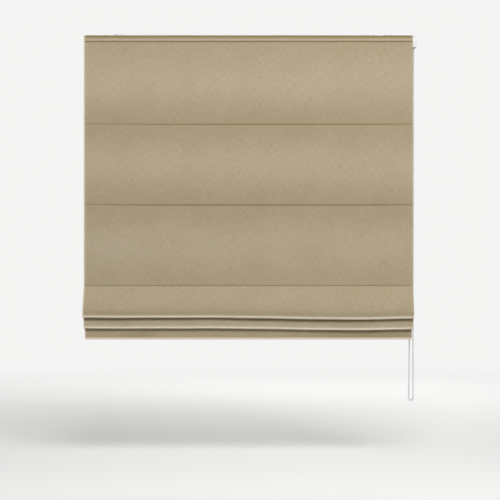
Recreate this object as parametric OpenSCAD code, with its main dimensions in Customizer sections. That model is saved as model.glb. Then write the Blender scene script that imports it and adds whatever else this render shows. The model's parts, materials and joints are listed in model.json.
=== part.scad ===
// Roman blind, raised by about a third, in millimetres.
// The frame: +X along the width, +Y towards the window, +Z up. The origin is the middle of the bracket
// screws, on the ceiling of the recess.

/* [Cloth] */
// Width of the finished blind
blind_w = 910; // [700:10:1200]
// Thickness of the face cloth
face_t = 0.8; // [0.6:0.1:1.0]
// Thickness of the lining
lining_t = 0.5; // [0.4:0.1:0.6]
// Top edge of the cloth, below the ceiling
cloth_top = 4; // [2:0.5:6]
// Stitched line under the top edge, below the ceiling
header_drop = 21; // [19:0.5:26]
// First rod, below the ceiling
first_rod_drop = 250; // [220:5:280]
// Distance between the rods of the plain part
rod_spacing = 223; // [180:1:240]
// How far a panel bulges forward between its seams
panel_bow = 3; // [1:0.5:6]

/* [Folds] */
// Lower edge of the first fold, below the third rod
fold_1_drop = 90; // [84:1:110]
// Lower edge of the second fold, below the first
fold_2_step = 30; // [24:1:40]
// Lower edge of the hem, below the second fold
hem_step = 28; // [24:1:40]
// How far the first fold stands in front of the seams
fold_1_reach = 33; // [31:0.5:36]
// How far the second fold stands in front of the seams
fold_2_reach = 21; // [20:0.5:23]
// Radius of the first fold's lower edge
fold_1_r = 5; // [4:0.5:5.5]
// Radius of the second fold's lower edge
fold_2_r = 4; // [3.5:0.25:4.5]
// Radius of the turn at a rod
turn_r = 1.6; // [1.5:0.1:1.8]
// Lean of the cloth where it leaves a rod, in degrees
lean = 25; // [23:1:30]

/* [Rods and rings] */
// Diameter of a rod
rod_d = 4; // [3:0.5:5]
// Height between rods that are drawn up against each other
stack_pitch = 12; // [11.5:0.5:14]
// Distance from a rod's end to the side of the cloth
rod_inset = 6; // [4:1:12]
// Wall of a rod pocket
pocket_t = 0.5; // [0.4:0.1:0.6]
// Width of a ring clip along its rod
clip_w = 8; // [6:1:10]
// Wall of a ring clip
clip_t = 1.5; // [1:0.25:2]
// Radius of a ring, to the middle of its wire
ring_r = 4; // [3.5:0.25:4.5]
// Thickness of a ring's wire
ring_wire = 2.2; // [1.6:0.2:2.6]

/* [Bottom bar] */
// Height of the bottom bar
bar_h = 24; // [20:1:28]
// Thickness of the bottom bar
bar_t = 3; // [2:0.5:3.5]
// Middle of the bar's thickness, in front of the seams
bar_reach = 6.8; // [6.5:0.1:7.5]
// Height by which the hem passes the bar
hem_extra = 3; // [1:0.5:5]

/* [Cords] */
// Diameter of a lift cord
cord_d = 1.5; // [1:0.1:2]
// Distance from an outer lift cord to the side of the cloth
cord_inset = 125; // [80:5:200]
// Diameter of a cord adjuster
adjuster_d = 8; // [6:0.5:10]
// Length of a cord adjuster
adjuster_l = 14; // [10:1:20]

/* [Headrail] */
// Depth of the headrail from front to back
rail_d = 40; // [38:1:46]
// Height of the headrail's channel
rail_h = 30; // [28:1:36]
// Wall of the headrail
rail_t = 1.5; // [1.2:0.1:2]
// Distance from the headrail's end to the side of the cloth
rail_inset = 6; // [5:0.5:8]
// Width of each lip under the headrail
lip_w = 2; // [1.5:0.25:3]
// Width of the clip rails on the headrail's top
clip_rail_w = 4.5; // [4:0.25:5]
// Thickness of the hook strip
hook_t = 1.5; // [1:0.1:1.6]
// Thickness of the loop strip
loop_t = 1.2; // [1:0.1:1.6]
// Height of both strips
strip_h = 16; // [12:1:17]

/* [Brackets] */
// Sheet thickness of a bracket
bracket_t = 1.5; // [1:0.1:2]
// Width of a bracket along the headrail
bracket_w = 26; // [20:1:40]
// Distance from a bracket's middle to the side of the cloth
bracket_inset = 95; // [60:5:200]
// Distance between a bracket's two screws
screw_spacing = 14; // [10:1:16]
// Diameter of a screw hole
screw_hole_d = 4.5; // [4:0.1:5]

/* [Drive] */
// Distance from the shaft's axis to the ceiling
shaft_drop = 19; // [18:0.25:20]
// Width across the flats of the square shaft
shaft_w = 6; // [5:0.5:6]
// Radius of a spool's drum
drum_r = 8; // [7:0.25:8.5]
// Length of a spool's drum
drum_l = 19; // [16:1:26]
// Turns of cord on a spool
cord_turns = 5; // [2:1:5]
// Radius of the journals that turn in the cradles
journal_r = 5; // [4.75:0.05:5.5]
// Spacing of the beads
bead_pitch = 6; // [5.5:0.1:6]
// Diameter of a bead
bead_d = 4.5; // [4:0.1:4.6]
// Diameter of the thread between beads
thread_d = 1.4; // [1:0.1:1.8]
// Number of bead pockets round the chain wheel
pockets = 12; // [11:1:12]
// Width of the chain wheel
wheel_w = 9; // [8:0.5:9.5]
// Beads on each strand of the chain
strand_beads = 163; // [100:1:200]
// Wall of the drive housing
housing_t = 2.4; // [2:0.1:2.6]

/* [Hidden] */
// Clearances: round running fit, pieces that slide together, pieces that keep apart
run_fit = 0.05;
slide_fit = 0.2;
apart = 0.3;
$fn = 48;

// Places along Y, from the headrail forward
rail_front = -rail_d / 2;
loop_back = rail_front - hook_t;
lining_back = loop_back - loop_t;
seam_y = lining_back - lining_t;

// Heights of the rods and edges
function rod_z(i) =
    i <= 3 ? -first_rod_drop - (i - 1) * rod_spacing : rod_z(3) - (i - 3) * stack_pitch;
fold_1_z = rod_z(3) - fold_1_drop;
fold_2_z = fold_1_z - fold_2_step;
hem_z = fold_2_z - hem_step;

// Rods and what they carry
rod_r = rod_d / 2;
pocket_bore = rod_r + 0.1;
pocket_r = pocket_bore + pocket_t;
tab_l = 1;
tab_h = 1.2;
rod_y = lining_back + apart + tab_l + pocket_r;
rod_l = blind_w - 2 * rod_inset;
rod_cap_l = 10;
rod_cap_t = 1;
pocket_l = rod_l - 2 * rod_cap_l;
clip_r = rod_r + run_fit + clip_t;
clip_mouth = tab_h + 2 * apart;
window_w = clip_w + 4;

// Headrail section, from the ceiling down
clip_rail_h = 3;
clip_rail_t = 1.2;
clip_rail_stem = 1.5;
clip_rail_inset = 2;
clip_rail_y = rail_d / 2 - clip_rail_inset;
rail_top = -bracket_t;
web_top = rail_top - clip_rail_h;
rail_bottom = web_top - rail_h;
rail_l = blind_w - 2 * rail_inset;
inner_half = rail_d / 2 - rail_t;
inner_top = web_top - rail_t;
lip_top = rail_bottom + rail_t;

// Drive
shaft_z = -shaft_drop;
shaft_hole = shaft_w + 0.1;
flange_r = drum_r + 2;
flange_t = 1.5;
journal_l = 3;
cord_y = -(drum_r + cord_d / 2 + apart);
cord_x = [for (i = [-1:1]) i * (blind_w / 2 - cord_inset)];
cord_end = rod_z(5) - ring_wire / 2 - 5;
cradle_wall = 2.5;
cradle_floor = 1.5;
cradle_half = drum_l / 2 + flange_t + apart + cradle_wall;
wheel_r = bead_pitch / (2 * sin(180 / pockets));
wheel_rim = wheel_r + 0.9;
hub_r = 7;
housing_in = wheel_r + bead_d / 2 + 0.5;
housing_r = housing_in + housing_t;
casing_drop = 17;
housing_bottom = shaft_z - casing_drop;
plug_l = 9;
plate_t = 4;
plate_x = rail_l / 2;
wheel_x = plate_x + plate_t + 1;
chain_x = wheel_x + wheel_w / 2;
casing_end = wheel_x + wheel_w + 0.8;
cover_t = 2;
spring_wire = 1.2;
spring_turns = 4;
spring_bore = hub_r + apart;
spring_room = spring_bore + spring_wire + apart;
spring_l = spring_turns * spring_wire;

// Bead chain: two strands from the wheel to a half-round end
chain_top = shaft_z - 12;
end_steps = 3;
end_r = bead_pitch / (2 * sin(90 / end_steps));
end_turn = 21;
strand_l = strand_beads * bead_pitch;
chain_end = chain_top - strand_l;
chain_end_x = chain_x - 1 - end_r * cos(end_turn);

// A flat section in Y and Z, pulled to a length along X and centred on x
module across(length, x = 0) {
    translate([x, 0, 0]) rotate([90, 0, 90]) linear_extrude(length, center = true) children();
}

// A flat section in Y and Z, pulled from x_from to x_to
module span_x(x_from, x_to) {
    across(x_to - x_from, (x_from + x_to) / 2) children();
}

// A rectangle between two corners
module rect(y_from, z_from, y_to, z_to) {
    translate([y_from, z_from]) square([y_to - y_from, z_to - z_from]);
}

// A circle of the drive, round the shaft's axis
module shaft_circle(r) {
    translate([0, shaft_z]) circle(r);
}

// Curves of the cloth, as points in Y and Z
curve_steps = 12;
edge_steps = 12;
panel_steps = 12;
handle = 0.4;

function bezier(p, q, r, s, t) =
    pow(1 - t, 3) * p + 3 * t * pow(1 - t, 2) * q + 3 * t * t * (1 - t) * r + pow(t, 3) * s;

function run_of_cloth(p, p_way, s, s_way) =
    let (h = norm(s - p) * handle)
    [for (i = [0:curve_steps - 1]) bezier(p, p + h * p_way, s - h * s_way, s, i / curve_steps)];

function arc(centre, r, from, to) =
    [for (i = [0:edge_steps - 1])
        let (a = from + (to - from) * i / edge_steps) centre + r * [cos(a), sin(a)]];

function panel(z_from, z_to) =
    [for (i = [0:panel_steps - 1])
        let (t = i / panel_steps)
        [seam_y - panel_bow * (1 - pow(2 * t - 1, 4)), z_from + (z_to - z_from) * t]];

// The side of a path that faces the room when the path runs down
function face_side(path) =
    [for (i = [0:len(path) - 1])
        let (
            step = path[min(i + 1, len(path) - 1)] - path[max(i - 1, 0)],
            way = step / norm(step)
        )
        [way[1], -way[0]]];

function layer(path, t) =
    let (side = face_side(path))
    concat(path, [for (i = [len(path) - 1:-1:0]) path[i] + t * side[i]]);

// The plain part: a straight header, then a bowed panel down to each rod
plain_path = concat(
    [[seam_y, -cloth_top]],
    panel(-header_drop, rod_z(1)),
    panel(rod_z(1), rod_z(2)),
    panel(rod_z(2), rod_z(3)),
    [[seam_y, rod_z(3) + face_t * sin(lean) + apart]]
);

// The folded part: two folds that hang from their rods, then the last panel and its hem round the bar
way_up = [0, 1];
way_down = [0, -1];
way_out = [-sin(lean), -cos(lean)];
turn_y = seam_y - turn_r;
fold_1_c = [seam_y - fold_1_reach + fold_1_r, fold_1_z + face_t + fold_1_r];
fold_2_c = [seam_y - fold_2_reach + fold_2_r, fold_2_z + face_t + fold_2_r];
hem_r = bar_t / 2 + lining_t + slide_fit;
bar_y = seam_y - bar_reach;
hem_c = [bar_y, hem_z + face_t + hem_r];
hem_top = hem_c + [-hem_r, bar_h];

function turn_c(i) = [turn_y, rod_z(i)];
function turn_in(i) = turn_c(i) + turn_r * [-cos(lean), sin(lean)];
function turn_out(i) = turn_c(i) + turn_r * [cos(lean), -sin(lean)];

folded_path = concat(
    run_of_cloth([seam_y, rod_z(3)], way_out, fold_1_c - [fold_1_r, 0], way_down),
    arc(fold_1_c, fold_1_r, 180, 360),
    run_of_cloth(fold_1_c + [fold_1_r, 0], way_up, turn_in(4), -way_out),
    arc(turn_c(4), turn_r, 180 - lean, -lean),
    run_of_cloth(turn_out(4), way_out, fold_2_c - [fold_2_r, 0], way_down),
    arc(fold_2_c, fold_2_r, 180, 360),
    run_of_cloth(fold_2_c + [fold_2_r, 0], way_up, turn_in(5), -way_out),
    arc(turn_c(5), turn_r, 180 - lean, -lean),
    run_of_cloth(turn_out(5), way_out, hem_top, way_down),
    [hem_top],
    arc(hem_c, hem_r, 180, 360),
    [hem_c + [hem_r, 0], hem_c + [hem_r, bar_h + hem_extra]]
);

module face_fabric() {
    color("#B7A98F") across(blind_w) polygon(layer(plain_path, face_t));
}

module folded_fabric() {
    color("#B7A98F") across(blind_w) polygon(layer(folded_path, face_t));
}

module lining() {
    color("#E8E2D4") across(blind_w) polygon(layer(plain_path, -lining_t));
}

module folded_lining() {
    color("#E8E2D4") across(blind_w) polygon(layer(folded_path, -lining_t));
}

// Rods, their pockets, caps and rings
module rod(i) {
    color("#F2F0EA") across(rod_l) translate([rod_y, rod_z(i)]) circle(rod_r);
}

module rod_caps(i) {
    color("#F4F4F2")
    for (side = [-1, 1])
        translate([side * (rod_l / 2 + rod_cap_t), rod_y, rod_z(i)])
        rotate([0, -90 * side, 0])
        difference() {
            rotate_extrude() union() {
                square([rod_r + rod_cap_t, rod_cap_l - rod_cap_t]);
                square([rod_r + rod_cap_t / 2, rod_cap_l]);
            }
            translate([0, 0, rod_cap_t]) cylinder(r = rod_r + run_fit, h = rod_cap_l);
        }
}

module rod_pocket(i) {
    color("#E8E2D4")
    difference() {
        across(pocket_l) translate([rod_y, rod_z(i)]) difference() {
            union() {
                circle(pocket_r);
                rect(-pocket_r - tab_l, -tab_h / 2, 0, tab_h / 2);
            }
            circle(pocket_bore);
        }
        for (x = cord_x)
            across(window_w, x) translate([rod_y, rod_z(i)]) difference() {
                circle(2 * pocket_r);
                rect(-2 * pocket_r, -tab_h / 2, -pocket_bore, tab_h / 2);
            }
    }
}

// A clip that grips the rod from behind, with a ring that the lift cord runs through
module rod_ring(x, z) {
    difference() {
        union() {
            across(clip_w, x) translate([rod_y, z]) circle(clip_r);
            translate([x - clip_w / 4, rod_y, z - ring_wire / 2])
                cube([clip_w / 2, cord_y - ring_r - rod_y, ring_wire]);
            translate([x, cord_y, z]) rotate_extrude() translate([ring_r, 0]) circle(ring_wire / 2);
        }
        across(clip_w + 2, x) translate([rod_y, z]) {
            circle(rod_r + run_fit);
            rect(-2 * clip_r, -clip_mouth / 2, 0, clip_mouth / 2);
        }
    }
}

module rod_rings(i) {
    color("#F8F8F6") for (x = cord_x) rod_ring(x, rod_z(i));
}

// The bar that weighs the hem down
module bottom_bar() {
    color("#EDEDEA")
    across(rod_l) translate(hem_c) union() {
        rect(-bar_t / 2, 0, bar_t / 2, bar_h - bar_t / 2);
        circle(bar_t / 2);
        translate([0, bar_h - bar_t / 2]) circle(bar_t / 2);
    }
}

module bottom_bar_caps() {
    color("#F4F4F2")
    for (side = [-1, 1])
        across(1.5, side * (rod_l / 2 + 0.75)) translate(hem_c) union() {
            rect(-bar_t / 2, 0, bar_t / 2, bar_h - bar_t / 2);
            circle(bar_t / 2);
            translate([0, bar_h - bar_t / 2]) circle(bar_t / 2);
        }
}

// Lift cords hang from the front of their spools and end in adjusters
module lift_cord(i) {
    color("#F5F3EE") translate([cord_x[i - 1], cord_y, cord_end])
        cylinder(d = cord_d, h = shaft_z - cord_end);
}

module cord_adjusters() {
    color("#F8F8F6")
    for (x = cord_x)
        translate([x, cord_y, cord_end - adjuster_l])
        rotate_extrude() polygon([
            [0, 0],
            [adjuster_d / 2 - 1, 0],
            [adjuster_d / 2, 1],
            [adjuster_d / 2, adjuster_l / 2],
            [adjuster_d / 4, adjuster_l],
            [0, adjuster_l]
        ]);
}

// A channel that is open below, with inward lips and two clip rails on its top
module rail_section() {
    rect(-rail_d / 2, inner_top, rail_d / 2, web_top);
    for (side = [0, 1]) mirror([side, 0]) {
        rect(inner_half, rail_bottom, rail_d / 2, web_top);
        rect(inner_half - lip_w, rail_bottom, inner_half, lip_top);
        rect(clip_rail_y - clip_rail_w, inner_top, clip_rail_y - clip_rail_w + clip_rail_stem, rail_top);
        rect(clip_rail_y - clip_rail_w, rail_top - clip_rail_t, clip_rail_y, rail_top);
    }
}

module headrail() {
    color("#F1F2F2") across(rail_l) rail_section();
}

// A sheet clip: a plate under the ceiling whose two hooks grip the clip rails
module bracket(x) {
    hook_in = clip_rail_y - clip_rail_w + clip_rail_stem + slide_fit;
    hook_out = clip_rail_y + slide_fit;
    hook_top = rail_top - clip_rail_t - slide_fit;
    color("#C9CCCE")
    difference() {
        across(bracket_w, x) {
            rect(-hook_out - bracket_t, -bracket_t, hook_out + bracket_t, 0);
            for (side = [0, 1]) mirror([side, 0]) {
                rect(hook_out, web_top + slide_fit, hook_out + bracket_t, 0);
                rect(hook_in, web_top + slide_fit, hook_out + bracket_t, hook_top);
            }
        }
        for (side = [-1, 1])
            translate([x, side * screw_spacing / 2, -bracket_t - 1])
            cylinder(d = screw_hole_d, h = bracket_t + 2);
    }
}

module bracket_left() {
    bracket(bracket_inset - blind_w / 2);
}

module bracket_right() {
    bracket(blind_w / 2 - bracket_inset);
}

// Hook-and-loop strips that hold the cloth to the headrail
module hook_strip() {
    color("#FFFFFF") across(rail_l) rect(loop_back, -header_drop, rail_front, -header_drop + strip_h);
}

module loop_strip() {
    color("#F0EEE8") across(rail_l) rect(lining_back, -header_drop, loop_back, -header_drop + strip_h);
}

// The room inside the headrail, as a section that end fittings fill
module plug_section() {
    rect(-inner_half + slide_fit, lip_top + slide_fit, inner_half - slide_fit, inner_top - slide_fit);
}

module idle_end_cap() {
    color("#F4F4F2")
    difference() {
        union() {
            span_x(-rail_l / 2 - plate_t, -rail_l / 2) rect(-rail_d / 2, rail_bottom, rail_d / 2, web_top);
            span_x(-rail_l / 2, -rail_l / 2 + plug_l) plug_section();
        }
        span_x(-rail_l / 2, -rail_l / 2 + plug_l + 1) shaft_circle(journal_r + run_fit);
    }
}

module idle_bush() {
    color("#3A3C3E")
    difference() {
        span_x(-rail_l / 2 + slide_fit, -rail_l / 2 + plug_l) shaft_circle(journal_r);
        across(3 * rail_l) translate([0, shaft_z]) square(shaft_hole, center = true);
    }
}

module drive_shaft() {
    color("#B8BCC0")
    span_x(-rail_l / 2 + 1, wheel_x + wheel_w - 1) translate([0, shaft_z]) square(shaft_w, center = true);
}

// A drum between flanges, wound with cord, that turns on two journals
module cord_spool(i) {
    half = drum_l / 2;
    spool_half = half + flange_t + journal_l;
    turn_pitch = cord_d * 0.95;
    first_turn = cord_d + apart;
    color("#FAFAF8")
    translate([cord_x[i - 1], 0, shaft_z])
    difference() {
        rotate([0, 90, 0]) rotate_extrude() union() {
            translate([0, -spool_half]) square([journal_r, 2 * spool_half]);
            translate([0, -half]) square([drum_r, drum_l]);
            for (z = [-half - flange_t, half]) translate([0, z]) square([flange_r, flange_t]);
            translate([0, first_turn]) square([drum_r + cord_d / 2, (cord_turns - 1) * turn_pitch]);
            for (k = [0:cord_turns - 1])
                translate([drum_r + cord_d / 2, first_turn + k * turn_pitch]) circle(d = cord_d);
        }
        cube([2 * drum_l, shaft_hole, shaft_hole], center = true);
    }
}

// A frame on the headrail's lips, with a bearing wall at each end of its spool
module spool_cradle(i) {
    x = cord_x[i - 1];
    half_d = inner_half - slide_fit;
    color("#E9E9E6")
    difference() {
        union() {
            for (side = [-1, 1])
                across(cradle_wall, x + side * (cradle_half - cradle_wall / 2)) {
                    shaft_circle(flange_r);
                    rect(-flange_r, lip_top, flange_r, shaft_z);
                }
            across(2 * cradle_half, x) rect(-half_d, lip_top, half_d, lip_top + cradle_floor);
        }
        across(3 * cradle_half, x) shaft_circle(journal_r + run_fit);
        translate([x, cord_y, lip_top - 1]) cylinder(r = cord_d / 2 + 1.2, h = cradle_floor + 2);
    }
}

// An arched casing, open below for the chain, with a plug that fits the headrail's end
module casing_section(r) {
    shaft_circle(r);
    rect(-r, housing_bottom, r, shaft_z);
}

module drive_housing() {
    color("#F4F4F2")
    difference() {
        union() {
            span_x(plate_x - plug_l, plate_x) plug_section();
            span_x(plate_x, plate_x + plate_t) {
                casing_section(housing_r);
                rect(-rail_d / 2, rail_bottom, rail_d / 2, web_top);
            }
            span_x(plate_x, casing_end) difference() {
                casing_section(housing_r);
                shaft_circle(housing_in);
                rect(-housing_in, housing_bottom - 1, housing_in, shaft_z);
            }
        }
        span_x(plate_x - plug_l - 1, plate_x + plate_t + 1) shaft_circle(hub_r + run_fit);
        span_x(plate_x - plug_l - 1, plate_x - 2) shaft_circle(spring_room);
    }
}

module drive_cover() {
    color("#F4F4F2")
    difference() {
        span_x(casing_end, casing_end + cover_t) casing_section(housing_r);
        span_x(casing_end + cover_t - 0.6, casing_end + cover_t + 1) casing_section(housing_r - 3);
    }
}

// A wheel with a pocket for each bead, a groove for the thread and a hub that turns in the housing
module chain_wheel() {
    color("#FAFAF8")
    difference() {
        union() {
            span_x(wheel_x, wheel_x + wheel_w) shaft_circle(wheel_rim);
            span_x(plate_x - plug_l + 1, wheel_x + 1) shaft_circle(hub_r);
        }
        for (i = [0:pockets - 1])
            translate([chain_x, 0, shaft_z])
            rotate([i * 360 / pockets, 0, 0])
            translate([0, wheel_r, 0])
            rotate([90, 0, 0]) sphere(d = bead_d + 2 * slide_fit);
        translate([chain_x, 0, shaft_z]) rotate([0, 90, 0])
            rotate_extrude() translate([wheel_r, -thread_d / 2 - slide_fit])
            square([2 * bead_d, thread_d + 2 * slide_fit]);
        across(3 * rail_l) translate([0, shaft_z]) square(shaft_hole, center = true);
    }
}

// A wrapped wire that locks the wheel's hub against the load
module brake_spring() {
    color("#8E9296")
    translate([plate_x - 2 - spring_wire / 2 - spring_l, 0, shaft_z])
    rotate([0, 90, 0])
    rotate_extrude() for (k = [0:spring_turns - 1])
        translate([spring_bore + spring_wire / 2, (k + 0.5) * spring_wire]) circle(d = spring_wire * 1.02);
}

// A strand of beads on a thread, as a section turned round its own axis: it hangs from its first bead at the
// origin and ends with a bare thread, where the next bead would be
bead_neck = acos(thread_d / bead_d);

function bead_profile(z) =
    let (r = bead_d / 2)
    [for (k = [2:-1:-2]) let (a = bead_neck * k / 2) [r * cos(a), z + r * sin(a)]];

function strand_profile(beads) = concat(
    [[0, bead_d / 2 * sin(bead_neck)]],
    [for (i = [0:beads - 1]) each bead_profile(-i * bead_pitch)],
    [[thread_d / 2, -beads * bead_pitch], [0, -beads * bead_pitch]]
);

// Puts a part that hangs from the origin along -Z so that it points from p towards q
module aimed(p, q) {
    d = p - q;
    translate(p) rotate([0, acos(d[2] / norm(d)), atan2(d[1], d[0])]) children();
}

module strand(p, q) {
    aimed(p, q) rotate_extrude() polygon(strand_profile(strand_beads));
}

module thread(p, q) {
    aimed(p, q) translate([0, 0, -norm(p - q)]) cylinder(d = thread_d, h = norm(p - q));
}

// The half-round end of the loop, from the front strand to the back one
function end_point(i) =
    let (a = 180 * i / end_steps)
    [
        chain_end_x + end_r * cos(a) * cos(end_turn),
        -end_r * cos(a) * sin(end_turn),
        chain_end - end_r * sin(a)
    ];

module bead_chain() {
    color("#E6E7E8") {
        strand([chain_x, -wheel_r, chain_top], end_point(0));
        strand([chain_x, wheel_r, chain_top], end_point(end_steps));
        for (i = [0:end_steps]) translate(end_point(i)) sphere(d = bead_d);
        for (i = [0:end_steps - 1]) thread(end_point(i), end_point(i + 1));
    }
}

headrail();
bracket_left();
bracket_right();
hook_strip();
loop_strip();
idle_end_cap();
idle_bush();
drive_housing();
drive_cover();
chain_wheel();
brake_spring();
drive_shaft();
bottom_bar();
bottom_bar_caps();
cord_adjusters();
face_fabric();
folded_fabric();
lining();
folded_lining();
bead_chain();
for (i = [1:3]) {
    spool_cradle(i);
    cord_spool(i);
    lift_cord(i);
}
for (i = [1:5]) {
    rod(i);
    rod_caps(i);
    rod_pocket(i);
    rod_rings(i);
}
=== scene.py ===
"""A roman blind in plain woven cloth: the cloth, its lining, seams, cords and bead chain, and the finishes of
the fittings that carry them. Lengths are in metres unless a name ends in _mm."""

import json
import logging
import math
from collections.abc import Callable
from dataclasses import dataclass
from enum import Enum
from functools import partial
from typing import Any

import bmesh
import bpy
import numpy as np
from bmesh.types import BMesh, BMVert
from bpy.types import ID, Material, Node, NodeSocket, NodeTree, Object
from mathutils import Matrix, Vector
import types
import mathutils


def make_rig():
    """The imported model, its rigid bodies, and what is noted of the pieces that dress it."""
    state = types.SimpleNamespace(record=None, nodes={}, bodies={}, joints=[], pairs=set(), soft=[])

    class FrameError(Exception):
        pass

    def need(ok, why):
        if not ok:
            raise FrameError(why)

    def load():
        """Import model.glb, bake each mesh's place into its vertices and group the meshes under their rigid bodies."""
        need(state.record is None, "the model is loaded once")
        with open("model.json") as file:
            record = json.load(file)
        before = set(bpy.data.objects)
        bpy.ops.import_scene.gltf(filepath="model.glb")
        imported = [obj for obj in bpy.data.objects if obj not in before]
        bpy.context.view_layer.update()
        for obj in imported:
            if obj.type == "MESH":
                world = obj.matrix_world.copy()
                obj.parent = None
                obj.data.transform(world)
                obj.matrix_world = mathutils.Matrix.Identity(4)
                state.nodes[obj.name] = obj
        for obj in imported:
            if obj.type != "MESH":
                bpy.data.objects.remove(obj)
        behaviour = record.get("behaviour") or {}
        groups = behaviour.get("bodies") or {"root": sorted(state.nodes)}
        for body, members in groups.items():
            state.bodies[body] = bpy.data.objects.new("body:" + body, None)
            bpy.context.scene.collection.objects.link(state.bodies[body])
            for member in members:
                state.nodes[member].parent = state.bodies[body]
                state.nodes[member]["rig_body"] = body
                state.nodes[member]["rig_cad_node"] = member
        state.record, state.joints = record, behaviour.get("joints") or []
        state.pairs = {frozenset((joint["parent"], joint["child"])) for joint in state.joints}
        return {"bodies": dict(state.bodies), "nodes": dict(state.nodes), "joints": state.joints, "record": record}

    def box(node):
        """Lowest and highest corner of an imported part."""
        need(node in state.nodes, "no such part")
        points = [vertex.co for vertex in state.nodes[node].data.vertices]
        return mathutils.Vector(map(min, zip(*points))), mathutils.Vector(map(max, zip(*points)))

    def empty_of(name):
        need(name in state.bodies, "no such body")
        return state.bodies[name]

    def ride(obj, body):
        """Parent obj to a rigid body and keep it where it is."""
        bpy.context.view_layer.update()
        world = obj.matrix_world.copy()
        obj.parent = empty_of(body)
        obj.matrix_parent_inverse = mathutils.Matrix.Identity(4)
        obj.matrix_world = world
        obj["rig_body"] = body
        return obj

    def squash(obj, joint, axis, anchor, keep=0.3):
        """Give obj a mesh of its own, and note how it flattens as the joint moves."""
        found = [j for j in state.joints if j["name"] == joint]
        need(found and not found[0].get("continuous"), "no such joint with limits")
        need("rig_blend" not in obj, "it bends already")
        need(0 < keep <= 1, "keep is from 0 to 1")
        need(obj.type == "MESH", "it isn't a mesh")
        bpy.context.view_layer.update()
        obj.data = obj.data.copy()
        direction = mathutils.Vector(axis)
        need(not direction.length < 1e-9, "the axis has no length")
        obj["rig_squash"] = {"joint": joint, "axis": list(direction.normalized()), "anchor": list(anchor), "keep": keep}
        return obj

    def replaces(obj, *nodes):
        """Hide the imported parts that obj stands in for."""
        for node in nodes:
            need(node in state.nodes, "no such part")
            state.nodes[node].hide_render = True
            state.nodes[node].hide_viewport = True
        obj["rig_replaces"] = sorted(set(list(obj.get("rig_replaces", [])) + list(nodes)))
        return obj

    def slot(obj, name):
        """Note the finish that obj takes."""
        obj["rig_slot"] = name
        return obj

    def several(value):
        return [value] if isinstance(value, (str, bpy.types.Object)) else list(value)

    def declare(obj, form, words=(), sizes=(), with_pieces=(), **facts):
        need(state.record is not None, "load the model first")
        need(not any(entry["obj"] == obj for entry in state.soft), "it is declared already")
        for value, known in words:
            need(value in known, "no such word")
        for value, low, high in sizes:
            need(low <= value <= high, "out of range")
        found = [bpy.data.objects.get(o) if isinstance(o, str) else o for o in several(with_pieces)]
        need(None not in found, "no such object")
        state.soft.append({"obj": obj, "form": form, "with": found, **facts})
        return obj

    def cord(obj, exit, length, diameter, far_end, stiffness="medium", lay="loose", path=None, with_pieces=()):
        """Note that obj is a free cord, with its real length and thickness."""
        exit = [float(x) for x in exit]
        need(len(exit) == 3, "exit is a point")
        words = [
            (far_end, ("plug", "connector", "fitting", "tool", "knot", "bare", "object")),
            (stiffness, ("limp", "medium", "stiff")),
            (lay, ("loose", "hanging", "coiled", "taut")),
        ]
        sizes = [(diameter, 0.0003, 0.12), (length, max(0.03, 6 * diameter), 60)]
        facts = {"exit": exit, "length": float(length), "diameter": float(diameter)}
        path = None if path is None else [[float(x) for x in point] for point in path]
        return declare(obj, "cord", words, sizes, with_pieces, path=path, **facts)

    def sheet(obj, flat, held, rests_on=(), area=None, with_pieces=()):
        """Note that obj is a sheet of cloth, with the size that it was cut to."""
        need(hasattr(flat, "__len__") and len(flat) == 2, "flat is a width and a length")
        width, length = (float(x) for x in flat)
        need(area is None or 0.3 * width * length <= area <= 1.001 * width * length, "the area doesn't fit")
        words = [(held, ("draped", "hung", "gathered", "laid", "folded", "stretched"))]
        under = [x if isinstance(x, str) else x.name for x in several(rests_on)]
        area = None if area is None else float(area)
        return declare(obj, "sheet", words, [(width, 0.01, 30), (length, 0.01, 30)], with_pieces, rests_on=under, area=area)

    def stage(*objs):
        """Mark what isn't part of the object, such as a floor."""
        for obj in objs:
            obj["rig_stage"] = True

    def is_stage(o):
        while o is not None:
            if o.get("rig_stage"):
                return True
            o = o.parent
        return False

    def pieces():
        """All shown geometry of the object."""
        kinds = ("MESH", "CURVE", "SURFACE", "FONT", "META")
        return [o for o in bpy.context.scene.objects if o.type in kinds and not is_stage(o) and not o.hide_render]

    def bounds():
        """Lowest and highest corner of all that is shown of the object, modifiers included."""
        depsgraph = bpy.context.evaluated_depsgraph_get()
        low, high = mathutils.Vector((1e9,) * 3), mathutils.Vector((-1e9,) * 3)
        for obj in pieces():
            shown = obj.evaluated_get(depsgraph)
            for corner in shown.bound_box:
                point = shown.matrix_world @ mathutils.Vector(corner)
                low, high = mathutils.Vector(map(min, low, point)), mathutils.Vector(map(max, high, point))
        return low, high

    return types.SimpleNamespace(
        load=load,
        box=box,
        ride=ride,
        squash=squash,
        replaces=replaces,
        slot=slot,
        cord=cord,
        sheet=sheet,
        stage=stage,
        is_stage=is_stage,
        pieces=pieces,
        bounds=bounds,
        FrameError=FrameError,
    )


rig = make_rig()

LOG = logging.getLogger("roman_blind")
MM = 0.001
SIZE_FILE = "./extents.json"
# What the lining takes up between the face cloth and the strip and pockets that are sewn to its back
LINING_T = 0.5 * MM

Numbers = float | np.ndarray


class Body(Enum):
    """The bodies of the frame that pieces ride on."""

    RAIL = "rail"
    FIRST_ROD = "first_rod"
    SECOND_ROD = "second_rod"
    STACK = "stack"


class Slot(Enum):
    """The record's material slots."""

    FACE = "face_cloth"
    LINING = "lining_cloth"
    RAIL = "rail_paint"
    BRACKET = "bracket_steel"
    TAPE = "strip_tape"
    PLASTIC = "white_plastic"
    BUSH = "bush_plastic"
    SPRING = "spring_steel"
    SHAFT = "shaft_metal"
    ROD = "rod_fibre"
    CORD = "lift_cord"
    CHAIN = "chain_plastic"


class Part(Enum):
    """The pieces that each layer of cloth hangs in."""

    HEADER = "header"
    PANELS = "panels"
    FOLDS = "folds"


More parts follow.
